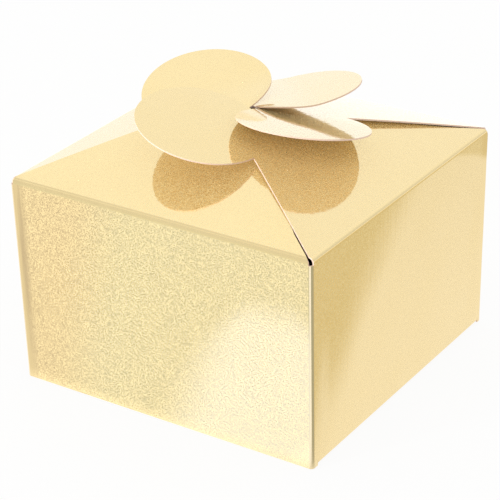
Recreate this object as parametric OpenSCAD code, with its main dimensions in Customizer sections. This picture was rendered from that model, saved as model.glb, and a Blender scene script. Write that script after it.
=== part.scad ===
// Square favor box of foil-faced card, closed on top by four flaps that end in round petals.
// Each petal lies over the next flap round the box, so the four lock like a pinwheel.
// The carton is one sheet: panels and the creases between them are separate solids here.
// Origin at the middle of the base, +Z up, front wall towards -Y, right wall towards +X.

/* [Box] */
// Width of the square box over its walls
box_w = 90; // [80:1:120]
// Height from the table to the line where walls and top flaps would meet
wall_h = 58.4; // [45:0.1:80]
// Thickness of the card
board_t = 0.4; // [0.3:0.05:0.5]
// Outer radius of the four upright creases
corner_r = 1; // [0.8:0.1:1.5]

/* [Top flaps] */
// Outer radius of the crease between a wall and its top flap
top_crease_r = 2; // [1.4:0.1:2.6]
// Rise of a flap above level where it leaves its crease, in degrees
flap_rise = 17.5; // [16:0.5:22]
// Radius of the slight bow that flattens a flap towards its petal
flap_bow_r = 800; // [700:10:2000]
// Radius of a petal
petal_r = 17.3; // [14:0.1:19]
// How far a petal's side stays short of the middle of the box
petal_gap = 0.6; // [0.5:0.1:2]
// How far a petal's centre lies past the middle of the box, seen from above
petal_past = 3.8; // [2:0.1:6]
// Angle between the fold and the flap's free left edge, in degrees
flap_edge_angle = 53.1; // [50:0.1:58]
// Width of the slit between two flaps at the corner of the box
corner_slit = 0.7; // [0.5:0.1:1.2]
// Width of that slit where the next flap starts to lie over this one
lap_slit = 0.3; // [0.2:0.1:0.5]
// How far a flap's covered right edge stays short of the diagonal
lap_margin = 2.2; // [2:0.1:4]

/* [Bottom] */
// Outer radius of the creases round the bottom
bottom_crease_r = 1; // [0.8:0.1:1.4]
// Height of the tongue that tucks in behind the front wall
tongue_h = 12; // [8:0.5:16]
// Gap between the tongue and the front wall
tongue_gap = 0.6; // [0.5:0.1:1]
// How far each end of the tongue stays inside the bottom panel
tongue_inset = 1; // [0.5:0.1:3]
// Radius of the tongue's two free corners
tongue_corner_r = 5; // [2:0.5:7]
// Length of a dust flap from its crease to its free end
dust_len = 32; // [20:1:38]
// Gap between a dust flap and the bottom panel under it
dust_gap = 0.1; // [0.1:0.05:0.3]
// Gap between a dust flap and the tongue
dust_front_gap = 1.2; // [1:0.1:3]
// Gap between the root of a dust flap and the back wall's crease
dust_back_gap = 1; // [0.8:0.1:3]
// Angle that the dust flap's back edge is cut away by, in degrees
dust_back_angle = 32; // [29:1:45]
// Angle that the dust flap's front edge is cut away by, in degrees
dust_front_angle = 8; // [4:1:20]

/* [Glue tab] */
// Width of the glued tab inside the back wall
tab_w = 12; // [8:0.5:16]
// How far the tab's ends stay inside the top and bottom of the wall
tab_end_gap = 3; // [2:0.5:6]
// Angle that the tab's ends are cut away by, in degrees
tab_end_angle = 20; // [10:1:40]
// Thickness of the line of glue
glue_t = 0.1; // [0.05:0.05:0.2]
// Width of the line of glue
glue_w = 7; // [4:0.5:10]
// How far the back wall's glued end stays short of the corner
seam_inset = 0.2; // [0.1:0.05:0.4]

/* [Hidden] */

// Colours: foil seen face on, foil on a crease, the white back of the card, dried glue
foil = "#FBE6B0";
crease_foil = "#E5D199";
card_white = "#FFEBDC";
glue_colour = "#F4EEDC";

// Cuts reach this far past the solids that they cut
overrun = 1;
// Facets of the preview for small bends, petals and the large bow
bend_fn = 48;
petal_fn = 144;
bow_fn = 1440;

half_w = box_w / 2;
// Half the flat stretch of a wall between its upright creases
flat = half_w - corner_r;

// A top crease turns from the upright wall to the flap
top_bend = 90 - flap_rise;
// Height where the upright part of a wall ends and its top crease starts
crease_z = wall_h - top_crease_r * tan(top_bend / 2);

// In the plane of a flap, u runs along the fold from the flap's left corner, seen from
// outside, and v runs up the flap from the fold. The plane is the bowed flap's chord.
bow_turn = (half_w + petal_past + petal_r) / flap_bow_r * 180 / PI;
chord_rise = flap_rise - bow_turn / 2;
// Distance up the flap for each unit of distance inwards, seen from above
level_share = cos(chord_rise);
// Distance along the fold for each unit up the flap on the free left edge
edge_share = 1 / tan(flap_edge_angle);

petal_u = half_w - petal_gap - petal_r;
petal_v = (half_w + petal_past) / level_share;
// Where the flat flap starts, at the end of its crease
flap_start_v = top_crease_r * tan(top_bend / 2);
flap_start_u = edge_share * flap_start_v;
// Distance from the side wall to the next flap's left edge, for each unit inwards
next_edge_share = level_share / edge_share;
flap_end_u = box_w - next_edge_share * flap_start_v * level_share - corner_slit;
// Distance inwards at which the next flap starts to lie over this one
lap_start = (lap_margin - lap_slit) / (next_edge_share - 1);

// A flap's straight edges run on inside its petal, to these distances up the flap
left_root_share = 0.5;
right_root_share = 0.2;
left_root_v = petal_v - petal_r * left_root_share;
right_root_v = petal_v - petal_r * right_root_share;

// The tongue's outer face stands behind the front wall
tongue_y = -half_w + board_t + tongue_gap;
// The flat bottom panel lies between these two creases
panel_front_y = tongue_y + bottom_crease_r;
panel_back_y = half_w - bottom_crease_r;

// The dust flaps lie on the bottom panel, with a gap
dust_z = board_t + dust_gap;
dust_axis_z = dust_z + bottom_crease_r;
dust_root_x = half_w - bottom_crease_r;
dust_front_y = tongue_y + board_t + dust_front_gap;
dust_back_y = panel_back_y - dust_back_gap;

// The glued tab lies behind the back wall and the line of glue
tab_y = half_w - board_t - glue_t;
tab_crease_y = tab_y - corner_r;
tab_taper = tab_w * tan(tab_end_angle);
glue_x = -flat + (tab_w - glue_w) / 2;
glue_end = tab_end_gap + tab_taper;

// Turns what is drawn for the front wall to the wall of that number:
// 0 front, 1 right, 2 back, 3 left
module on_side(side) {
    rotate([0, 0, 90 * side]) children();
}

// Stands a flat outline of x and z up in the front wall's place
module front_plate() {
    translate([0, -half_w + board_t, 0]) rotate([90, 0, 0]) linear_extrude(board_t) children();
}

// A strip of card bent round the Z axis, from the X axis through the given angle
module bend(r, angle, length) {
    rotate_extrude(angle = angle, $fn = bend_fn) translate([r - board_t, 0]) square([board_t, length]);
}

// Turns a bend so that it lies along X and its angles are read from +Y towards +Z
module lay_along_x(x, y, z) {
    translate([x, y, z]) rotate([90, 0, 90]) children();
}

module wall_front() {
    color(foil) front_plate() translate([-flat, 0]) square([2 * flat, crease_z]);
}

// The back wall carries the bottom panel's crease. Its right end, seen from outside, is the glued seam
module wall_back() {
    seam_x = half_w - seam_inset;
    color(foil) on_side(2) front_plate() polygon([
        [-flat, bottom_crease_r],
        [flat, bottom_crease_r],
        [flat, 0],
        [seam_x, 0],
        [seam_x, crease_z],
        [-flat, crease_z]
    ]);
}

// A side wall up to the given place at the back, with the dust flap's crease cut out below
module side_wall(back_y) {
    translate([half_w - board_t, 0, 0]) rotate([90, 0, 90]) linear_extrude(board_t) polygon([
        [-flat, 0],
        [dust_front_y, 0],
        [dust_front_y, dust_axis_z],
        [dust_back_y, dust_axis_z],
        [dust_back_y, 0],
        [back_y, 0],
        [back_y, crease_z],
        [-flat, crease_z]
    ]);
}

module wall_right() {
    color(foil) side_wall(flat);
}

module wall_left() {
    color(foil) mirror([1, 0, 0]) side_wall(tab_crease_y);
}

module glue_tab() {
    color(card_white) translate([-flat, tab_y, 0]) rotate([90, 0, 0]) linear_extrude(board_t) polygon([
        [0, tab_end_gap],
        [tab_w, tab_end_gap + tab_taper],
        [tab_w, crease_z - tab_end_gap - tab_taper],
        [0, crease_z - tab_end_gap]
    ]);
}

module glue_strip() {
    color(glue_colour) translate([glue_x, tab_y, glue_end]) cube([glue_w, glue_t, crease_z - 2 * glue_end]);
}

module corner_crease_front_right() {
    color(crease_foil) translate([flat, -flat, 0]) rotate([0, 0, -90]) bend(corner_r, 90, crease_z);
}

module corner_crease_front_left() {
    color(crease_foil) translate([-flat, -flat, 0]) rotate([0, 0, 180]) bend(corner_r, 90, crease_z);
}

module corner_crease_back_right() {
    color(crease_foil) translate([flat, flat, 0]) bend(corner_r, 90, crease_z);
}

// This crease leads from the left wall to the glued tab
module corner_crease_back_left() {
    length = crease_z - 2 * tab_end_gap;
    color(crease_foil) translate([-flat, tab_crease_y, tab_end_gap])
        rotate([0, 0, 90]) bend(corner_r, 90, length);
}

// Outline of a top flap in its own plane
module flap_outline() {
    polygon([
        [0, 0],
        [flap_end_u, 0],
        [flap_end_u, flap_start_v],
        [box_w - lap_start - lap_margin, lap_start / level_share],
        [box_w - lap_margin - right_root_v * level_share, right_root_v],
        [edge_share * left_root_v, left_root_v]
    ]);
    translate([petal_u, petal_v]) circle(petal_r, $fn = petal_fn);
}

// A sheet as wide as the box, bowed down from the end of the top crease
module bowed_sheet() {
    span = bow_turn + overrun / flap_bow_r * 180 / PI;
    // Centre of the bow, straight under the end of the crease as the flap sees it
    drop = flap_bow_r - top_crease_r;
    centre_y = -half_w + top_crease_r + drop * sin(flap_rise);
    centre_z = crease_z - drop * cos(flap_rise);
    lay_along_x(-half_w, centre_y, centre_z) rotate([0, 0, 90 + flap_rise - span])
        rotate_extrude(angle = span, $fn = bow_fn)
            translate([flap_bow_r - board_t, 0]) square([board_t, box_w]);
}

// The front wall's flap: the bowed sheet, cut to the outline
module petal_flap() {
    reach = flap_start_v + board_t;
    intersection() {
        bowed_sheet();
        translate([-half_w, -half_w, wall_h]) rotate([chord_rise, 0, 0])
            translate([0, 0, -reach]) linear_extrude(2 * reach) flap_outline();
    }
}

// The front wall's top crease, with its ends cut back towards the ends of the flap's root
module top_crease() {
    flap_d = flap_start_v * level_share;
    intersection() {
        lay_along_x(-flat, -half_w + top_crease_r, crease_z) rotate([0, 0, 90 + flap_rise])
            bend(top_crease_r, top_bend, 2 * flat);
        translate([-half_w, -half_w, crease_z - overrun]) linear_extrude(top_crease_r + 2 * overrun) polygon([
            [0, -overrun],
            [box_w, -overrun],
            [box_w - corner_r, 0],
            [flap_end_u, flap_d],
            [flap_end_u, top_crease_r],
            [flap_start_u, top_crease_r],
            [flap_start_u, flap_d],
            [corner_r, 0]
        ]);
    }
}

module petal_flap_front() {
    color(foil) petal_flap();
}

module petal_flap_right() {
    color(foil) on_side(1) petal_flap();
}

module petal_flap_back() {
    color(foil) on_side(2) petal_flap();
}

module petal_flap_left() {
    color(foil) on_side(3) petal_flap();
}

module top_crease_front() {
    color(crease_foil) top_crease();
}

module top_crease_right() {
    color(crease_foil) on_side(1) top_crease();
}

module top_crease_back() {
    color(crease_foil) on_side(2) top_crease();
}

module top_crease_left() {
    color(crease_foil) on_side(3) top_crease();
}

module bottom_panel() {
    color(foil) translate([-flat, panel_front_y, 0]) cube([2 * flat, panel_back_y - panel_front_y, board_t]);
}

module bottom_crease() {
    color(crease_foil) lay_along_x(-flat, panel_back_y, bottom_crease_r) rotate([0, 0, 270])
        bend(bottom_crease_r, 90, 2 * flat);
}

// The tongue's outline above its crease, with two round corners
module tongue_outline(half, height) {
    round_x = half - tongue_corner_r;
    round_z = height - tongue_corner_r;
    translate([-half, 0]) square([2 * half, round_z]);
    translate([-round_x, 0]) square([2 * round_x, height]);
    for (x = [-round_x, round_x]) translate([x, round_z]) circle(tongue_corner_r, $fn = bend_fn);
}

module tuck_tongue() {
    height = tongue_h - bottom_crease_r;
    color(foil) translate([0, tongue_y + board_t, bottom_crease_r]) rotate([90, 0, 0])
        linear_extrude(board_t) tongue_outline(flat - tongue_inset, height);
}

module tongue_crease() {
    half = flat - tongue_inset;
    color(crease_foil) lay_along_x(-half, panel_front_y, bottom_crease_r) rotate([0, 0, 180])
        bend(bottom_crease_r, 90, 2 * half);
}

// The right dust flap, with its back edge cut away so that it never meets the turning panel
module dust_flap() {
    free_x = dust_root_x - dust_len;
    translate([0, 0, dust_z]) linear_extrude(board_t) polygon([
        [dust_root_x, dust_front_y],
        [dust_root_x, dust_back_y],
        [free_x, dust_back_y - dust_len * tan(dust_back_angle)],
        [free_x, dust_front_y + dust_len * tan(dust_front_angle)]
    ]);
}

module dust_crease() {
    translate([dust_root_x, dust_back_y, dust_axis_z]) rotate([90, 0, 0]) rotate([0, 0, 270])
        bend(bottom_crease_r, 90, dust_back_y - dust_front_y);
}

module dust_flap_right() {
    color(foil) dust_flap();
}

module dust_flap_left() {
    color(foil) mirror([1, 0, 0]) dust_flap();
}

module dust_crease_right() {
    color(crease_foil) dust_crease();
}

module dust_crease_left() {
    color(crease_foil) mirror([1, 0, 0]) dust_crease();
}

wall_front();
wall_right();
wall_back();
wall_left();
glue_tab();
glue_strip();
corner_crease_front_right();
corner_crease_front_left();
corner_crease_back_right();
corner_crease_back_left();
petal_flap_front();
petal_flap_right();
petal_flap_back();
petal_flap_left();
top_crease_front();
top_crease_right();
top_crease_back();
top_crease_left();
bottom_panel();
bottom_crease();
tuck_tongue();
tongue_crease();
dust_flap_right();
dust_flap_left();
dust_crease_right();
dust_crease_left();
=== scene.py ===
"""A square favor box of gold foil card, closed by four flaps whose round petals lock in a ring.

The box is one die-cut sheet. Each of its panels and creases is made here with the card's
thickness: foil outside, white card inside and pale cut edges. The line of glue is a film. Each
piece stands for the solid whose name it starts with.
Sizes are in millimetres, as in the part's source, where no other unit is named. The front wall
faces -Y, the right wall +X.
"""

import math

import bpy
from mathutils import Matrix, Vector


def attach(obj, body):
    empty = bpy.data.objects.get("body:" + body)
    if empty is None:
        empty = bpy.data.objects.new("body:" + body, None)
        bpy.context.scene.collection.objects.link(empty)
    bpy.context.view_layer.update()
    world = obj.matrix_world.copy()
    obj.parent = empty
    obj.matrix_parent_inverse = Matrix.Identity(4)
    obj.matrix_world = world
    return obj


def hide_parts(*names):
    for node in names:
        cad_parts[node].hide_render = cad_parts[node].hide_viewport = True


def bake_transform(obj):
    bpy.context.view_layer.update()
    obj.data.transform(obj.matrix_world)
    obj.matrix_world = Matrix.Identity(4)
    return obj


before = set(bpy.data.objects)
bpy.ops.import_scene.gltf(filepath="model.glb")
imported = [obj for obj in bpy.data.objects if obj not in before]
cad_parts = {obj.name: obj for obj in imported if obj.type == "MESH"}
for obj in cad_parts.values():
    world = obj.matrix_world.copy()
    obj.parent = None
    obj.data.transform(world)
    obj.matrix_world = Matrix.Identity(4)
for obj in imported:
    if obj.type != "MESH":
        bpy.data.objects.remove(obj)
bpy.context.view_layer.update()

MM = 0.001

# ---- The box, in the sizes of the part's source ----
BOX_W = 90.0
WALL_H = 58.4
BOARD_T = 0.4
CORNER_R = 1.0
TOP_R = 2.0
FLAP_RISE = math.radians(17.5)
BOW_R = 800.0
PETAL_R = 17.3
PETAL_GAP = 0.6
PETAL_PAST = 3.8
EDGE_ANGLE = math.radians(53.1)
CORNER_SLIT = 0.7
LAP_SLIT = 0.3
LAP_MARGIN = 2.2
BOTTOM_R = 1.0
TONGUE_H = 12.0
TONGUE_GAP = 0.6
TONGUE_INSET = 1.0
TONGUE_CORNER_R = 5.0
DUST_LEN = 32.0
DUST_GAP = 0.1
DUST_FRONT_GAP = 1.2
DUST_BACK_GAP = 1.0
DUST_BACK_ANGLE = math.radians(32)
DUST_FRONT_ANGLE = math.radians(8)
TAB_W = 12.0
TAB_END_GAP = 3.0
TAB_END_ANGLE = math.radians(20)
GLUE_T = 0.1
GLUE_W = 7.0
SEAM_INSET = 0.2

HALF_W = BOX_W / 2
FLAT = HALF_W - CORNER_R
TOP_BEND = math.pi / 2 - FLAP_RISE
CREASE_Z = WALL_H - TOP_R * math.tan(TOP_BEND / 2)
BOW_TURN = (HALF_W + PETAL_PAST + PETAL_R) / BOW_R
CHORD_RISE = FLAP_RISE - BOW_TURN / 2
LEVEL = math.cos(CHORD_RISE)
EDGE = 1 / math.tan(EDGE_ANGLE)
PETAL_U = HALF_W - PETAL_GAP - PETAL_R
PETAL_V = (HALF_W + PETAL_PAST) / LEVEL
START_V = TOP_R * math.tan(TOP_BEND / 2)
START_U = EDGE * START_V
NEXT_EDGE = LEVEL / EDGE
END_U = BOX_W - NEXT_EDGE * START_V * LEVEL - CORNER_SLIT
LAP_START = (LAP_MARGIN - LAP_SLIT) / (NEXT_EDGE - 1)
TONGUE_Y = -HALF_W + BOARD_T + TONGUE_GAP
PANEL_FRONT_Y = TONGUE_Y + BOTTOM_R
PANEL_BACK_Y = HALF_W - BOTTOM_R
DUST_Z = BOARD_T + DUST_GAP
DUST_AXIS_Z = DUST_Z + BOTTOM_R
DUST_ROOT_X = HALF_W - BOTTOM_R
DUST_FRONT_Y = TONGUE_Y + BOARD_T + DUST_FRONT_GAP
DUST_BACK_Y = PANEL_BACK_Y - DUST_BACK_GAP
TAB_Y = HALF_W - BOARD_T - GLUE_T
TAB_CREASE_Y = TAB_Y - CORNER_R
GLUE_X = -FLAT + (TAB_W - GLUE_W) / 2
GLUE_END = TAB_END_GAP + TAB_W * math.tan(TAB_END_ANGLE)

SIDES = ["front", "right", "back", "left"]


# ---- Materials ----
def colour(code):
    """A colour written as sRGB hex, as linear red, green, blue and alpha."""
    parts = [int(code[i : i + 2], 16) / 255 for i in (1, 3, 5)]
    return [c / 12.92 if c <= 0.04045 else ((c + 0.055) / 1.055) ** 2.4 for c in parts] + [1.0]


def add(tree, kind, inputs=None, **settings):
    """Adds a node, sets what it is told, and links the inputs that are given as sockets."""
    node = tree.nodes.new(kind)
    for key, value in settings.items():
        setattr(node, key, value)
    for key, value in (inputs or {}).items():
        if isinstance(value, bpy.types.NodeSocket):
            tree.links.new(value, node.inputs[key])
        else:
            node.inputs[key].default_value = value
    return node


def new_material(name):
    """A material without nodes, and its node tree."""
    material = bpy.data.materials.new(name)
    material.use_nodes = True
    material.node_tree.nodes.clear()
    return material, material.node_tree


def per_metre(size_mm):
    """The scale that gives a noise texture features of that size."""
    return 1 / (size_mm * MM)


# Foil laminated to the card under a gold lacquer: a bright metal with a clear, glossy skin,
# which pales where it is seen at a low angle. The lacquer carries fine matt pigment grains.
# They take the light from all sides, so they are lost where the metal mirrors white, and
# they sparkle on a wall that a lamp rakes while it mirrors something dimmer. The creasing rule
# has pressed most of them smooth. The board's upright fibres print through the foil as a faint
# streak.
FOIL_GOLD = "#FBE3A6"
FOIL_DEEP = "#F9E0A0"
FOIL_ROUGHNESS = 0.07
LACQUER_ROUGHNESS = 0.04
LACQUER_IOR = 1.7
MOTTLE_MM = 14.0
FIBRE_MM = 1.3
FIBRE_DEPTH_MM = 0.010
# Along Z the fibres' noise is this much coarser, which draws them out upright
FIBRE_STREAK = (1.0, 1.0, 0.12)
# Less than a pixel of the photograph, which doesn't show how large the real grains are
GRAIN_MM = 0.23
# The most that a grain takes from the metal, on open card and where the rule has pressed it
GRAIN_MATT = 0.55
PRESSED_MATT = 0.1
# The grains fade out beside two upright creases: front left, where the photograph's are weaker,
# and back right, which only comes with it. All are there up to the first distance from the
# box's middle, and none from the second
GRAIN_FADE_MM = (40.5, 43.5)


def gold_foil(name, matt):
    """Foil on card, whose grains are matt up to that share."""
    material, tree = new_material(name)
    place = add(tree, "ShaderNodeTexCoord").outputs["Object"]
    mottle = add(
        tree,
        "ShaderNodeTexNoise",
        {"Vector": place, "Scale": per_metre(MOTTLE_MM), "Detail": 2.0},
    )
    tint = add(
        tree,
        "ShaderNodeMix",
        {0: mottle.outputs["Fac"], 6: colour(FOIL_GOLD), 7: colour(FOIL_DEEP)},
        data_type="RGBA",
    )
    upright = add(tree, "ShaderNodeMapping", {"Vector": place, "Scale": FIBRE_STREAK})
    fibre = add(
        tree,
        "ShaderNodeTexNoise",
        {"Vector": upright.outputs["Vector"], "Scale": per_metre(FIBRE_MM), "Detail": 1.0},
    )
    skin = add(
        tree,
        "ShaderNodeBump",
        {"Height": fibre.outputs["Fac"], "Strength": 1.0, "Distance": FIBRE_DEPTH_MM * MM},
    )
    grains = add(tree, "ShaderNodeTexVoronoi", {"Vector": place, "Scale": per_metre(GRAIN_MM)})
    lot = add(tree, "ShaderNodeTexWhiteNoise", {"Vector": grains.outputs["Position"]})
    at = add(tree, "ShaderNodeSeparateXYZ", {"Vector": place})
    corner = add(
        tree, "ShaderNodeMath", {0: at.outputs["X"], 1: at.outputs["Y"]}, operation="MULTIPLY"
    )
    kept = add(
        tree,
        "ShaderNodeMapRange",
        {
            "Value": corner.outputs["Value"],
            "From Min": GRAIN_FADE_MM[0] * HALF_W * MM**2,
            "From Max": GRAIN_FADE_MM[1] * HALF_W * MM**2,
            "To Min": 1 - matt,
            "To Max": 1.0,
        },
        interpolation_type="SMOOTHSTEP",
    )
    metal = add(
        tree,
        "ShaderNodeMapRange",
        {
            "Value": lot.outputs["Value"],
            "To Min": kept.outputs["Result"],
            "To Max": 1.0,
        },
    )
    shader = add(
        tree,
        "ShaderNodeBsdfPrincipled",
        {
            "Base Color": tint.outputs[2],
            "Metallic": metal.outputs["Result"],
            "Roughness": FOIL_ROUGHNESS,
            "Specular IOR Level": 0.0,
            "Normal": skin.outputs["Normal"],
            "Coat Weight": 1.0,
            "Coat Roughness": LACQUER_ROUGHNESS,
            "Coat IOR": LACQUER_IOR,
            "Coat Normal": skin.outputs["Normal"],
        },
    )
    add(tree, "ShaderNodeOutputMaterial", {"Surface": shader.outputs["BSDF"]})
    return material


# Bare board is a felt of short fibres, a little rough to the finger
FELT_MM = 0.9
FELT_DEPTH_MM = 0.02
FELT_STRENGTH = 0.6
FELT_ROUGHNESS = 0.85
FELT_IOR = 1.45


def pressed_fibre(name, light, dark, streak):
    """Uncoated card: matt, with soft fibres. The streak flattens the fibres along the sheet."""
    material, tree = new_material(name)
    place = add(tree, "ShaderNodeTexCoord").outputs["Object"]
    laid = add(tree, "ShaderNodeMapping", {"Vector": place, "Scale": streak})
    fibre = add(
        tree,
        "ShaderNodeTexNoise",
        {"Vector": laid.outputs["Vector"], "Scale": per_metre(FELT_MM), "Detail": 6.0},
    )
    tint = add(
        tree,
        "ShaderNodeMix",
        {0: fibre.outputs["Fac"], 6: colour(light), 7: colour(dark)},
        data_type="RGBA",
    )
    relief = add(
        tree,
        "ShaderNodeBump",
        {
            "Height": fibre.outputs["Fac"],
            "Strength": FELT_STRENGTH,
            "Distance": FELT_DEPTH_MM * MM,
        },
    )
    shader = add(
        tree,
        "ShaderNodeBsdfPrincipled",
        {
            "Base Color": tint.outputs[2],
            "Roughness": FELT_ROUGHNESS,
            "IOR": FELT_IOR,
            "Normal": relief.outputs["Normal"],
        },
    )
    add(tree, "ShaderNodeOutputMaterial", {"Surface": shader.outputs["BSDF"]})
    return material


foil = gold_foil("gold_foil_laminate", GRAIN_MATT)
pressed_foil = gold_foil("gold_foil_pressed_at_the_crease", PRESSED_MATT)
# The back of the board: bleached, uncoated and faintly pink, so it takes no shine
card_back = pressed_fibre("uncoated_white_card", "#EEE3D3", "#E5D6C1", (1.0, 1.0, 1.0))
# The die's cut shows the board's layers: fibre pressed flat, a little darker than the back
cut_edge = pressed_fibre("die_cut_card_edge", "#EFD5C2", "#DDBDA6", (1.0, 1.0, 5.0))

# Dried white glue: a thin, slightly glossy film, clouded where it has pooled
GLUE_CLOUD_MM = 2.5
GLUE_ROUGHNESS = 0.38
GLUE_IOR = 1.47
dried_glue, glue_tree = new_material("dried_white_glue")
glue_at = add(glue_tree, "ShaderNodeTexCoord").outputs["Object"]
glue_flow = add(
    glue_tree,
    "ShaderNodeTexNoise",
    {"Vector": glue_at, "Scale": per_metre(GLUE_CLOUD_MM), "Detail": 2.0},
)
glue_tint = add(
    glue_tree,
    "ShaderNodeMix",
    {0: glue_flow.outputs["Fac"], 6: colour("#F7F2E4"), 7: colour("#EBE2CC")},
    data_type="RGBA",
)
glue_shader = add(
    glue_tree,
    "ShaderNodeBsdfPrincipled",
    {"Base Color": glue_tint.outputs[2], "Roughness": GLUE_ROUGHNESS, "IOR": GLUE_IOR},
)
add(glue_tree, "ShaderNodeOutputMaterial", {"Surface": glue_shader.outputs["BSDF"]})


# ---- Card pieces ----
def spread(start, end, count):
    """Evenly spaced values from start to end, both included."""
    return [start + (end - start) * i / count for i in range(count + 1)]


def on_side(side):
    """Turns what is drawn for the front wall to another wall."""
    return Matrix.Rotation(math.pi / 2 * side, 3, "Z")


def smooth(x):
    """Rises from 0 to 1 with level ends."""
    x = min(1.0, max(0.0, x))
    return x * x * (3 - 2 * x)


# Folded shut, the box is a little wider at the top than at the foot
LEAN = 0.5


def leaned(point):
    """Where a point of the upright box is once the walls lean."""
    spread_out = 1 + LEAN / HALF_W * min(1.0, max(0.0, point.z / WALL_H))
    return Vector((point.x * spread_out, point.y * spread_out, point.z))


# How far to each side of a point the direction of the face is measured
PROBE = 0.01
# The face's slots: foil outside, card inside, cut edges, and foil that the rule has pressed
OUTER_SLOT, INNER_SLOT, EDGE_SLOT, PRESSED_SLOT = range(4)


def card(
    name,
    node,
    columns,
    rows,
    place,
    surface,
    turn=None,
    flip=False,
    keep=None,
    pressed=None,
    thick=BOARD_T,
    layers=None,
):
    """A piece of card that stands for a node. place gives the point of the sheet for a column
    and row, and surface the point in space of the outer face there. turn takes the piece round
    to its wall, and flip puts its outer face on the other side. keep leaves cells out, and
    pressed says where the creasing rule has pressed the foil. layers are what the outer face,
    the inner face and the edges are made of."""
    turn = turn or Matrix.Identity(3)
    layers = layers or (foil, card_back, cut_edge)
    outer, inner, normals = {}, {}, {}
    points = []
    for i, column in enumerate(columns):
        for j, row in enumerate(rows):
            a, b = place(column, row)
            along = leaned(surface(a + PROBE, b)) - leaned(surface(a - PROBE, b))
            up = leaned(surface(a, b + PROBE)) - leaned(surface(a, b - PROBE))
            normal = along.cross(up).normalized() * (-1 if flip else 1)
            point = leaned(surface(a, b))
            normals[i, j] = turn @ normal
            outer[i, j] = len(points)
            points.append(turn @ point)
            inner[i, j] = len(points)
            points.append(turn @ (point - normal * thick))
    cells = {
        (i, j)
        for i in range(len(columns) - 1)
        for j in range(len(rows) - 1)
        if keep is None
        or keep((columns[i] + columns[i + 1]) / 2, (rows[j] + rows[j + 1]) / 2)
    }
    faces, slots, loop_normals = [], [], []
    for i, j in sorted(cells):
        ring = [(i, j), (i + 1, j), (i + 1, j + 1), (i, j + 1)]
        beside = [(i, j - 1), (i + 1, j), (i, j + 1), (i - 1, j)]
        edges = [(ring[k], ring[(k + 1) % 4], beside[k]) for k in range(4)]
        if flip:
            ring = ring[::-1]
            edges = [(q, p, cell) for p, q, cell in edges]
        faces.append([outer[p] for p in ring])
        row = (rows[j] + rows[j + 1]) / 2
        slots.append(PRESSED_SLOT if pressed is not None and pressed(row) else OUTER_SLOT)
        loop_normals += [normals[p] for p in ring]
        faces.append([inner[p] for p in reversed(ring)])
        slots.append(INNER_SLOT)
        loop_normals += [-normals[p] for p in reversed(ring)]
        for p, q, cell in edges:
            if cell in cells:
                continue
            faces.append([outer[q], outer[p], inner[p], inner[q]])
            slots.append(EDGE_SLOT)
            edge = points[outer[q]] - points[outer[p]]
            loop_normals += [edge.cross(normals[p]).normalized()] * 4
    used = sorted({v for face in faces for v in face})
    number = {v: k for k, v in enumerate(used)}
    mesh = bpy.data.meshes.new(name)
    mesh.from_pydata(
        [points[v] * MM for v in used], [], [[number[v] for v in face] for face in faces]
    )
    for material in layers + ((pressed_foil,) if pressed else ()):
        mesh.materials.append(material)
    mesh.polygons.foreach_set("material_index", slots)
    mesh.shade_smooth()
    mesh.normals_split_custom_set([tuple(n) for n in loop_normals])
    made = bpy.data.objects.new(name, mesh)
    bpy.context.scene.collection.objects.link(made)
    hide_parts(node)
    return made


# The card isn't optically flat: it has long, shallow waves, by length, heading and height
RIPPLES = [(31.0, 0.7, 0.022), (23.0, 2.1, 0.016), (17.0, 4.4, 0.010), (41.0, 5.3, 0.026)]
# How far each wave is shifted against the one before it, and one wall's against another's
WAVE_SHIFT = 1.7
WALL_SHIFT = 2.3
# Each wall has a number of its own, which turns and shifts its waves
WALL_SEEDS = {"front": 0.3, "right": 1.1, "back": 2.6, "left": 3.9}


def ripple(a, b, seed):
    """Height of the card's own waves at a point of the sheet."""
    total = 0.0
    for k, (wave, heading, height) in enumerate(RIPPLES):
        along = a * math.cos(heading + seed) + b * math.sin(heading + seed)
        total += height * math.sin(2 * math.pi * along / wave + WAVE_SHIFT * k + WALL_SHIFT * seed)
    return total


# Between its stiff creases a wall is drawn in a little, more and more over these distances from
# its upright creases, its foot and its top
WALL_SINK = 0.14
SINK_REACH = 8.0
SINK_FOOT = 12.0
SINK_TOP = 25.0


def wall_surface(seed, left, right):
    """A wall's outer face, drawn in and waved between two places along it."""

    def surface(x, z):
        near = min(x - left, right - x)
        share = smooth(near / SINK_REACH) * smooth(z / SINK_FOOT)
        share *= smooth((CREASE_Z - z) / SINK_TOP)
        return Vector((x, -HALF_W + share * (WALL_SINK + ripple(x, z, seed)), z))

    return surface


def same(a, b):
    """Lays a sheet out whose columns and rows are its own two directions."""
    return a, b


# A wall's rows are closer where it bends more: runs from one height to another, and their cells
WALL_RUNS = [(2.0, 10.0, 8), (10.0, 48.0, 19), (48.0, CREASE_Z, 9)]
# Its columns are closer beside the upright creases
END_CELLS = 8
WALL_CELLS = 36


def wall_rows(low=()):
    rows = {0.0, *low}
    for start, end, count in WALL_RUNS:
        rows.update(spread(start, end, count))
    return sorted(rows)


def wall_columns(left, right, more=()):
    near_left, near_right = left + SINK_REACH, right - SINK_REACH
    columns = {*spread(left, near_left, END_CELLS), *spread(near_right, right, END_CELLS), *more}
    columns.update(spread(near_left, near_right, WALL_CELLS))
    return sorted(columns)


# The die's cut between the crease of a bottom part and the wall's strip beside it
CUT = 0.1
STRIP_FRONT_Y = DUST_FRONT_Y - CUT
STRIP_BACK_Y = DUST_BACK_Y + CUT
STRIP_X = FLAT + CUT
# The back wall's glued end
SEAM_X = HALF_W - SEAM_INSET

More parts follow.
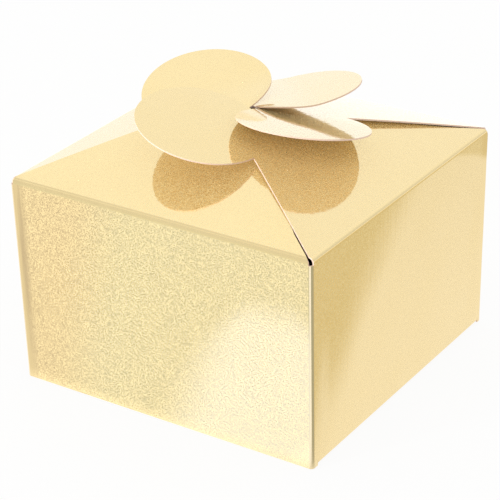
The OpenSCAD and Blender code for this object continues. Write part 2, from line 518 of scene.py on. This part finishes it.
made = {}
made["wall_front"] = card(
    "wall_front_card",
    "wall_front",
    wall_columns(-FLAT, FLAT),
    wall_rows(),
    same,
    wall_surface(WALL_SEEDS["front"], -FLAT, FLAT),
)
made["wall_right"] = card(
    "wall_right_card",
    "wall_right",
    wall_columns(-FLAT, FLAT, [STRIP_FRONT_Y, STRIP_BACK_Y]),
    wall_rows([DUST_AXIS_Z]),
    same,
    wall_surface(WALL_SEEDS["right"], -FLAT, FLAT),
    on_side(1),
    keep=lambda y, z: z > DUST_AXIS_Z or not STRIP_FRONT_Y < y < STRIP_BACK_Y,
)
made["wall_back"] = card(
    "wall_back_card",
    "wall_back",
    wall_columns(-FLAT, FLAT, [STRIP_X, SEAM_X]),
    wall_rows([BOTTOM_R]),
    same,
    # It stays flat where the tab is glued to it
    wall_surface(WALL_SEEDS["back"], -FLAT, FLAT - TAB_W),
    on_side(2),
    keep=lambda x, z: z > BOTTOM_R or x > STRIP_X,
)
made["wall_left"] = card(
    "wall_left_card",
    "wall_left",
    wall_columns(-TAB_CREASE_Y, FLAT, [-STRIP_FRONT_Y, -STRIP_BACK_Y]),
    wall_rows([DUST_AXIS_Z]),
    same,
    wall_surface(WALL_SEEDS["left"], -TAB_CREASE_Y, FLAT),
    on_side(3),
    keep=lambda y, z: z > DUST_AXIS_Z or not STRIP_FRONT_Y < -y < STRIP_BACK_Y,
)


# An upright crease was scored from outside: a bead stands on one side of the fold and a
# groove lies on the other. Each has its middle and reach in degrees round the fold, and a height
BEAD = (18.0, 17.0, 0.03)
GROOVE = (66.0, 16.0, -0.04)
# Up the crease both grow and shrink by this share, in two waves of these lengths per radian
LIVELY = 0.35
LIVELY_SHORT = 3.1
LIVELY_LONG = 7.7


def corner_surface(centre_y, seed):
    """Round the fold, from facing the front to facing the right, by degrees and height."""

    def surface(turned, z):
        r = CORNER_R
        grown = LIVELY * math.sin(z / LIVELY_SHORT + seed) * math.sin(z / LIVELY_LONG + 2 * seed)
        for middle, reach, height in (BEAD, GROOVE):
            off = (turned - middle) / reach
            if abs(off) < 1:
                r += height * (1 + grown) * math.cos(off * math.pi / 2) ** 2
        angle = math.radians(turned - 90)
        return Vector((FLAT + r * math.cos(angle), centre_y + r * math.sin(angle), z))

    return surface


CORNER_COLUMNS = 30
CORNER_ROWS = 56
for side, name in enumerate(["front_right", "back_right", "back_left", "front_left"]):
    node = "corner_crease_" + name
    if name == "back_left":
        # The left wall's crease leads to the glued tab, inside the back wall
        low, high, centre_y = TAB_END_GAP, CREASE_Z - TAB_END_GAP, -TAB_CREASE_Y
    else:
        low, high, centre_y = 0.0, CREASE_Z, -FLAT
    made[node] = card(
        node + "_card",
        node,
        spread(0.0, 90.0, CORNER_COLUMNS),
        spread(low, high, CORNER_ROWS),
        same,
        corner_surface(centre_y, side),
        on_side(side),
        pressed=lambda z: True,
    )


def bent(turn, reach, radius, sweep):
    """The section of a fold that turns by an angle: where its outer face is after a run along
    it, as forward and inward from its start, and the runs that its mesh has rows at."""
    straight = reach - radius * math.tan(turn / 2)
    arc = radius * turn

    def at(run):
        if run < straight:
            return run, 0.0
        turned = min(turn, (run - straight) / radius)
        rest = max(0.0, run - straight - arc)
        return (
            straight + radius * math.sin(turned) + rest * math.cos(turn),
            radius * (1 - math.cos(turned)) + rest * math.sin(turn),
        )

    return at, [0.0] + spread(straight, straight + arc, sweep) + [2 * straight + arc]


# ---- Top flaps ----
BOW_A = TOP_R + (BOW_R - TOP_R) * math.sin(FLAP_RISE)
BOW_Z = CREASE_Z - (BOW_R - TOP_R) * math.cos(FLAP_RISE)
# The bow's centre as the flap's own plane sees it
BOW_V = BOW_A * math.cos(CHORD_RISE) + (BOW_Z - WALL_H) * math.sin(CHORD_RISE)
BOW_W = -BOW_A * math.sin(CHORD_RISE) + (BOW_Z - WALL_H) * math.cos(CHORD_RISE)


def left_of(v):
    """Where the flap's outline begins at a distance up the flap: its free edge, then its petal."""
    off = v - PETAL_V
    petal = PETAL_U - math.sqrt(max(0.0, PETAL_R**2 - off**2))
    return min(EDGE * v, petal) if off > -PETAL_R else EDGE * v


def right_of(v):
    """Where it ends: the corner slit, the covered edge, then the petal."""
    a = v * LEVEL
    covered = BOX_W - LAP_MARGIN - a
    if a < LAP_START:
        share = max(0.0, (a - START_V * LEVEL) / (LAP_START - START_V * LEVEL))
        return END_U + share * (BOX_W - LAP_START - LAP_MARGIN - END_U)
    off = v - PETAL_V
    petal = PETAL_U + math.sqrt(max(0.0, PETAL_R**2 - off**2))
    if v < PETAL_V:
        return max(covered, petal) if off > -PETAL_R else covered
    return petal


# How each petal lies once it is locked, clear of the next flap that it covers: it has shifted
# along its root and up its flap, its far side has sprung up, its tip has risen and it has been
# lifted, each in mm
LIE = {
    "front": (0.7, 0.3, 1.1, 0.4, -0.6),
    "right": (0.1, 0.0, -0.4, 0.2, 0.4),
    "back": (0.5, 0.1, -0.05, 0.0, 0.0),
    "left": (1.3, -1.3, -0.1, 0.0, -1.6),
}


# A flap lies still right of the diagonal from its left corner. Left of it, it is free to shift
# from the first distance on, and fully so after the second one more
FREE_START = 2
FREE_REACH = 24


def flap_surface(name):
    """A flap's outer face: bowed, and shifted where it is free as its petal lies."""
    along, onward, far, tip, lift = LIE[name]

    def surface(u, v):
        free = smooth((v * LEVEL - u - FREE_START) / FREE_REACH)
        off = min(1.0, max(-1.0, (u - PETAL_U) / PETAL_R))
        w = BOW_W + math.sqrt(BOW_R**2 - (v - BOW_V) ** 2)
        w += free * (lift - far * off + tip * (v - PETAL_V) / PETAL_R)
        out = v + onward * free
        return Vector(
            (
                u + along * free - HALF_W,
                -HALF_W + out * math.cos(CHORD_RISE) - w * math.sin(CHORD_RISE),
                WALL_H + out * math.sin(CHORD_RISE) + w * math.cos(CHORD_RISE),
            )
        )

    return surface


# Rows up the flap: even ones to where the corner slit ends, even ones on to the notch where the
# petal starts, then at even degrees round the petal's circle. Those too near the notch are left
# out
SLIT_CELLS = 6
EDGE_CELLS = 26
NOTCH_STEPS = 4000
NOTCH_CLEAR = 0.02
PETAL_ARC = (-80.0, 88.0, 84)
NOTCH_V = next(v for v in spread(PETAL_V - PETAL_R, PETAL_V, NOTCH_STEPS) if left_of(v) < EDGE * v)
petal_rows = [PETAL_V + PETAL_R * math.sin(math.radians(angle)) for angle in spread(*PETAL_ARC)]
flap_rows = spread(START_V, LAP_START / LEVEL, SLIT_CELLS)
flap_rows += spread(LAP_START / LEVEL, NOTCH_V, EDGE_CELLS)[1:]
flap_rows += [v for v in petal_rows if v > NOTCH_V + NOTCH_CLEAR]
FLAP_COLUMNS = 56


def flap_place(share, v):
    return left_of(v) + share * (right_of(v) - left_of(v)), v


# The card folds tighter than the solid's crease, within the same run
TOP_FOLD_R = 1.45
top_fold, top_runs = bent(TOP_BEND, START_V, TOP_FOLD_R, sweep=20)


def top_crease_place(share, run):
    """A top crease is cut back to the ends of its flap's root."""
    back = top_fold(run)[1] / (START_V * LEVEL)
    left = CORNER_R + back * (START_U - CORNER_R)
    right = BOX_W - CORNER_R + back * (END_U - BOX_W + CORNER_R)
    return left + share * (right - left) - HALF_W, run


def top_crease_surface(x, run):
    forward, inward = top_fold(run)
    return Vector((x, -HALF_W + inward, CREASE_Z + forward))


for side, name in enumerate(SIDES):
    made["petal_flap_" + name] = card(
        f"petal_flap_{name}_card",
        "petal_flap_" + name,
        spread(0.0, 1.0, FLAP_COLUMNS),
        flap_rows,
        flap_place,
        flap_surface(name),
        on_side(side),
    )
    made["top_crease_" + name] = card(
        f"top_crease_{name}_card",
        "top_crease_" + name,
        spread(0.0, 1.0, FLAP_COLUMNS),
        top_runs,
        top_crease_place,
        top_crease_surface,
        on_side(side),
        pressed=lambda run: top_runs[1] < run < top_runs[-2],
    )


# ---- Bottom: panel, tongue, dust flaps and the glued tab ----
# These creases fold tighter than the solids' too
LOW_FOLD_R = 0.45
low_fold, low_runs = bent(math.pi / 2, BOTTOM_R, LOW_FOLD_R, sweep=14)
PANEL_CELLS = 44
DUST_COLUMNS = 32


def bottom_crease_surface(x, run):
    forward, inward = low_fold(run)
    return Vector((x, HALF_W - inward, BOTTOM_R - forward))


def tongue_crease_surface(x, run):
    forward, inward = low_fold(run)
    return Vector((x, PANEL_FRONT_Y - forward, inward))


def dust_crease_surface(side):
    def surface(y, run):
        forward, inward = low_fold(run)
        return Vector((side * (HALF_W - inward), y, DUST_AXIS_Z - forward))

    return surface


made["bottom_panel"] = card(
    "bottom_panel_card",
    "bottom_panel",
    spread(-FLAT, FLAT, PANEL_CELLS),
    spread(PANEL_FRONT_Y, PANEL_BACK_Y, PANEL_CELLS),
    same,
    lambda x, y: Vector((x, y, 0.0)),
    flip=True,
)
made["bottom_crease"] = card(
    "bottom_crease_card",
    "bottom_crease",
    spread(-FLAT, FLAT, PANEL_CELLS),
    low_runs,
    same,
    bottom_crease_surface,
    pressed=lambda run: True,
)
TONGUE_HALF = FLAT - TONGUE_INSET
# From here up the tongue's two free corners round off, with rows at these degrees
TONGUE_ROUND_Z = TONGUE_H - TONGUE_CORNER_R
TONGUE_ARC = (6.0, 90.0, 14)


def tongue_place(share, z):
    off = max(0.0, z - TONGUE_ROUND_Z)
    half = TONGUE_HALF - TONGUE_CORNER_R + math.sqrt(max(0.0, TONGUE_CORNER_R**2 - off**2))
    return half * (2 * share - 1), z


tongue_rows = spread(BOTTOM_R, TONGUE_ROUND_Z, count=4) + [
    TONGUE_ROUND_Z + TONGUE_CORNER_R * math.sin(math.radians(angle))
    for angle in spread(*TONGUE_ARC)
]
made["tuck_tongue"] = card(
    "tuck_tongue_card",
    "tuck_tongue",
    spread(0.0, 1.0, PANEL_CELLS),
    tongue_rows,
    tongue_place,
    lambda x, z: Vector((x, TONGUE_Y, z)),
)
made["tongue_crease"] = card(
    "tongue_crease_card",
    "tongue_crease",
    spread(-TONGUE_HALF, TONGUE_HALF, PANEL_CELLS),
    low_runs,
    same,
    tongue_crease_surface,
    pressed=lambda run: True,
)


def dust_place(share, d):
    front = DUST_FRONT_Y + d * math.tan(DUST_FRONT_ANGLE)
    back = DUST_BACK_Y - d * math.tan(DUST_BACK_ANGLE)
    return front + share * (back - front), d


for side, name in ((1, "right"), (-1, "left")):
    # Seen from outside, the right flap's front edge is on the left, the left flap's on the right
    made["dust_flap_" + name] = card(
        f"dust_flap_{name}_card",
        "dust_flap_" + name,
        spread(0.0, 1.0, DUST_COLUMNS),
        spread(0.0, DUST_LEN, count=16),
        dust_place,
        lambda y, d, side=side: Vector((side * (DUST_ROOT_X - d), y, DUST_Z)),
        flip=side > 0,
    )
    made["dust_crease_" + name] = card(
        f"dust_crease_{name}_card",
        "dust_crease_" + name,
        spread(DUST_FRONT_Y, DUST_BACK_Y, DUST_COLUMNS),
        low_runs,
        same,
        dust_crease_surface(side),
        flip=side > 0,
        pressed=lambda run: True,
    )


def tab_place(d, share):
    low = TAB_END_GAP + d * math.tan(TAB_END_ANGLE)
    return d, low + share * (CREASE_Z - 2 * low)


made["glue_tab"] = card(
    "glue_tab_card",
    "glue_tab",
    spread(0.0, TAB_W, count=6),
    spread(0.0, 1.0, count=30),
    tab_place,
    lambda d, z: Vector((-FLAT + d, TAB_Y, z)),
    flip=True,
)


# The glue's edges wander: by how much, over what length per radian, and from what start
SPILLS = [(0.25, 1.9, 0), (0.15, 0.7, 1)]


def glue_place(share, z):
    """The line of glue has spread unevenly where it was pressed."""
    spill = sum(much * math.sin(z / length + start) for much, length, start in SPILLS)
    across = GLUE_X + share * GLUE_W
    return across + spill * (share - 0.5), z


made["glue_strip"] = card(
    "glue_strip_film",
    "glue_strip",
    spread(0.0, 1.0, count=8),
    spread(GLUE_END, CREASE_Z - GLUE_END, count=60),
    glue_place,
    lambda x, z: Vector((x, TAB_Y + GLUE_T, z)),
    flip=True,
    thick=GLUE_T,
    layers=(dried_glue, dried_glue, dried_glue),
)

# ---- What moves with what ----
RIDES = {
    "carton": ["wall_front", "wall_right", "wall_back", "wall_left", "glue_tab", "glue_strip"],
    "bottom": ["bottom_panel"],
    "tongue": ["tuck_tongue"],
    "dust_right": ["dust_flap_right"],
    "dust_left": ["dust_flap_left"],
}
RIDES["carton"] += [name for name in made if name.startswith("corner_crease")]
for name in SIDES:
    RIDES[name + "_flap"] = ["petal_flap_" + name]
for body, names in RIDES.items():
    for name in names:
        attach(made[name], body)


def bend_between(name):
    """Bakes a crease's place into its mesh."""
    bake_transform(made[name])


for side, name in enumerate(SIDES):
    bend_between("top_crease_" + name)
bend_between(
    "bottom_crease",
)
bend_between(
    "tongue_crease",
)
for side, name in ((1, "right"), (-1, "left")):
    bend_between(
        "dust_crease_" + name,
    )

# ---- Camera, where the photograph was taken from ----
AZIMUTH, ELEVATION, ROLL = (math.radians(x) for x in (33.693, 26.894, -1.355))
CAMERA_AT = (266.21, -402.45, 274.60)
back = Vector(
    (
        math.sin(AZIMUTH) * math.cos(ELEVATION),
        -math.cos(AZIMUTH) * math.cos(ELEVATION),
        math.sin(ELEVATION),
    )
)
across = Vector((0, 0, 1)).cross(back).normalized()
upward = back.cross(across)
right = math.cos(ROLL) * across + math.sin(ROLL) * upward
above = -math.sin(ROLL) * across + math.cos(ROLL) * upward
SENSOR_MM = 36.0
PHOTO_PX = 500
FOCAL_PX = 2014.1
lens = bpy.data.cameras.new("photo_camera")
lens.sensor_width = SENSOR_MM
lens.lens = FOCAL_PX / PHOTO_PX * SENSOR_MM
lens.clip_start, lens.clip_end = 0.01, 20.0
camera = bpy.data.objects.new("photo_camera", lens)
facing = Matrix((right, above, back)).transposed().to_4x4()
camera.matrix_world = Matrix.Translation(Vector(CAMERA_AT) * MM) @ facing
bpy.context.scene.collection.objects.link(camera)
bpy.context.scene.camera = camera

# ---- Floor ----
# White paper. Seen directly it is white, and it keeps a faint shadow. Reflections alone see it
# painted in the tones below. Tones and bounds were tuned until the two walls came near
# the photograph from its one view, and aren't what a plain floor would give.
# Half its width, in metres, and how far below the box it lies
FLOOR_REACH = 1.5
FLOOR_DROP = 0.05
# How much of its diffuse paper shows directly, which is what takes the shadow
SHADOW_SHARE = 0.10
# Painted reflection tones, light and shade that only reflections see, as linear red, green and
# blue
PAINTED_REFLECTION_TONES = {
    "left": (0.64, 0.60, 0.61),
    "front": (0.63, 0.69, 0.75),
    "edge": (0.85, 0.82, 0.79),
    "painted_light_patch": (0.86, 0.98, 1.38),
    "far_front": (0.79, 0.81, 0.79),
    "near": (1.05, 1.12, 1.50),
    "dark": (0.42, 0.44, 0.46),
    "back": (0.98, 0.94, 0.86),
    "off": (0.90, 0.85, 0.74),
    "dim": (0.69, 0.60, 0.38),
    "corner": (0.74, 0.66, 0.46),
    "far": (1.25, 1.22, 1.22),
}


def floor_paper():
    """Paper that is white to the eye, painted with light and shade that only reflections see, and
    clear from below.
    """
    material, tree = new_material("white_paper_sweep_with_painted_reflections")
    place = add(tree, "ShaderNodeNewGeometry")
    at = add(tree, "ShaderNodeSeparateXYZ", {"Vector": place.outputs["Position"]})

    def beyond(slope, start, width):
        """0 to 1 over a width across the line where X = slope * Y + start, in mm, to +X."""
        line = add(
            tree,
            "ShaderNodeMath",
            {0: at.outputs["Y"], 1: -slope, 2: at.outputs["X"]},
            operation="MULTIPLY_ADD",
        )
        return add(
            tree,
            "ShaderNodeMapRange",
            {
                "Value": line.outputs["Value"],
                "From Min": (start - width / 2) * MM,
                "From Max": (start + width / 2) * MM,
            },
            interpolation_type="SMOOTHSTEP",
        ).outputs["Result"]

    def blended(factor, first, second):
        """The first colour where the factor is 0, the second where it is 1."""
        mix = add(tree, "ShaderNodeMix", {0: factor, 6: first, 7: second}, data_type="RGBA")
        return mix.outputs[2]

    def both(first, second):
        """1 only where both are."""
        product = add(tree, "ShaderNodeMath", {0: first, 1: second}, operation="MULTIPLY")
        return product.outputs["Value"]

    def ahead(start, end):
        """0 to 1 as Y goes from start to end, in mm."""
        return add(
            tree,
            "ShaderNodeMapRange",
            {"Value": at.outputs["Y"], "From Min": start * MM, "From Max": end * MM},
            interpolation_type="SMOOTHSTEP",
        ).outputs["Result"]

    tone = {name: (*value, 1.0) for name, value in PAINTED_REFLECTION_TONES.items()}
    front = blended(beyond(0.67, 1.0, 26.0), tone["left"], tone["front"])
    # Furthest left, as the front wall mirrors it where its grains fade out
    front = blended(beyond(0.869, -3.0, 3.5), tone["edge"], front)
    # A painted pool of light, which the front wall mirrors as its cream patch, and a painted tone
    # further out
    painted_light_patch = both(beyond(0.386, 21.0, 20.0), beyond(0.0, -16.0, 12.0))
    front = blended(both(painted_light_patch, ahead(-114, -94)), front, tone["painted_light_patch"])
    front = blended(ahead(-136, -142), front, tone["far_front"])
    # Towards the camera a painted bright tone, which the upright crease in front mirrors as its
    # highlight
    front = blended(beyond(0.05, 40.0, 5.0), front, tone["near"])
    # Behind the front wall's line the painted reflection tone is warm, and falls off to the right.
    # Painted shade dims it past a line that runs away to the right, less so past one that crosses
    # it further back, and it is painted bright again on the left and at the far end
    behind = blended(beyond(0.0, 75.0, 90.0), tone["back"], tone["off"])
    behind = blended(beyond(0.361, 64.5, 12.0), behind, tone["dim"])
    behind = blended(beyond(-2.29, 421.0, 14.0), behind, tone["corner"])
    behind = blended(beyond(0.0, 32.0, 20.0), tone["far"], behind)
    behind = blended(ahead(300, 600), behind, tone["far"])
    painted_reflection = blended(ahead(-50, -40), front, behind)
    # Between two lines on the right a painted shadow makes it dark, as far as the crease mirrors
    # it
    beside = blended(beyond(0.0, 260.0, 120.0), tone["dark"], tone["back"])
    wedge = both(beyond(-1.11, -5.0, 8.0), beyond(1.43, 109.0, 8.0))
    painted_reflection = blended(wedge, painted_reflection, beside)
    rays = add(tree, "ShaderNodeLightPath")
    # Reflections see the painted light and shade, the camera sees plain white
    seen = blended(rays.outputs["Is Glossy Ray"], colour("#FFFFFF"), painted_reflection)
    glow = add(tree, "ShaderNodeEmission", {"Color": seen, "Strength": 1.0})
    paper = add(tree, "ShaderNodeBsdfDiffuse", {"Color": colour("#F4F4F2")})
    share = add(
        tree,
        "ShaderNodeMapRange",
        {"Value": rays.outputs["Is Glossy Ray"], "To Min": SHADOW_SHARE, "To Max": 0.0},
    )
    top = add(
        tree,
        "ShaderNodeMixShader",
        {0: share.outputs["Result"], 1: glow.outputs["Emission"], 2: paper.outputs["BSDF"]},
    )
    clear = add(tree, "ShaderNodeBsdfTransparent")
    surface = add(
        tree,
        "ShaderNodeMixShader",
        {0: place.outputs["Backfacing"], 1: top.outputs["Shader"], 2: clear.outputs["BSDF"]},
    )
    add(tree, "ShaderNodeOutputMaterial", {"Surface": surface.outputs["Shader"]})
    return material


floor_mesh = bpy.data.meshes.new("floor")
floor_corners = [(-1, -1), (1, -1), (1, 1), (-1, 1)]
floor_mesh.from_pydata(
    [(x * FLOOR_REACH, y * FLOOR_REACH, -FLOOR_DROP * MM) for x, y in floor_corners],
    [],
    [[0, 1, 2, 3]],
)
floor_mesh.materials.append(floor_paper())
floor = bpy.data.objects.new("floor", floor_mesh)
bpy.context.scene.collection.objects.link(floor)

# ---- World and lamp ----
world = bpy.data.worlds.new("studio")
bpy.context.scene.world = world
world.use_nodes = True
sky = world.node_tree
sky.nodes.clear()
look = add(sky, "ShaderNodeTexCoord").outputs["Generated"]


def toward(direction, start, end, low, high):
    """From low to high as the look nears a direction, between two cosines of the angle."""
    near = add(sky, "ShaderNodeVectorMath", {0: look, 1: direction}, operation="DOT_PRODUCT")
    return add(
        sky,
        "ShaderNodeMapRange",
        {
            "Value": near.outputs["Value"],
            "From Min": start,
            "From Max": end,
            "To Min": low,
            "To Max": high,
        },
        interpolation_type="SMOOTHSTEP",
    ).outputs["Result"]


# White overhead, brighter low down behind the box, and dimmer on the camera's side. High up on
# the left it has a dimmer gap. A large softbox hangs high over the camera, where no wall or flap
# mirrors it to the lens. These were tuned to the photograph's view too.
overhead = toward((-0.45, 0.62, 0.64), start=0.25, end=0.75, low=0.77, high=1.0)
behind_box = toward((-0.6, 0.8, 0.0), start=0.82, end=0.96, low=1.0, high=1.07)
softbox_glow = toward((0.35, -0.45, 0.82), start=0.80, end=0.90, low=1.0, high=1.6)
gap_above = toward((-0.495, 0.02, 0.869), start=0.945, end=0.975, low=1.0, high=0.80)
dome = overhead
for part in (behind_box, gap_above, softbox_glow):
    dome = add(sky, "ShaderNodeMath", {0: dome, 1: part}, operation="MULTIPLY").outputs["Value"]
# Seen directly, the backdrop is plain white
sky_rays = add(sky, "ShaderNodeLightPath")
level = add(
    sky,
    "ShaderNodeMix",
    {0: sky_rays.outputs["Is Camera Ray"], 2: dome, 3: 1.0},
    data_type="FLOAT",
)
backdrop = add(
    sky,
    "ShaderNodeBackground",
    {"Color": colour("#FFFFFF"), "Strength": level.outputs[0]},
)
add(sky, "ShaderNodeOutputWorld", {"Surface": backdrop.outputs["Background"]})

# The key softbox rakes the front wall from its left, low down, and hardly reaches the top or the
# right. Reflections don't show it. Its place, its aim and its width are in metres
KEY_AT = Vector((-0.45, -0.90, 0.06))
KEY_AIM = Vector((0, -0.045, 0.03))
KEY_WIDTH = 0.12
KEY_WATTS = 8.5
lamp = bpy.data.lights.new("key_softbox", "AREA")
lamp.shape = "DISK"
lamp.size = KEY_WIDTH
lamp.energy = KEY_WATTS
key = bpy.data.objects.new("key_softbox", lamp)
key.location = KEY_AT
key.rotation_mode = "QUATERNION"
key.rotation_quaternion = (KEY_AT - KEY_AIM).to_track_quat("Z", "Y")
key.visible_camera = False
key.visible_glossy = False
bpy.context.scene.collection.objects.link(key)

view = bpy.context.scene.view_settings
view.view_transform = "Standard"
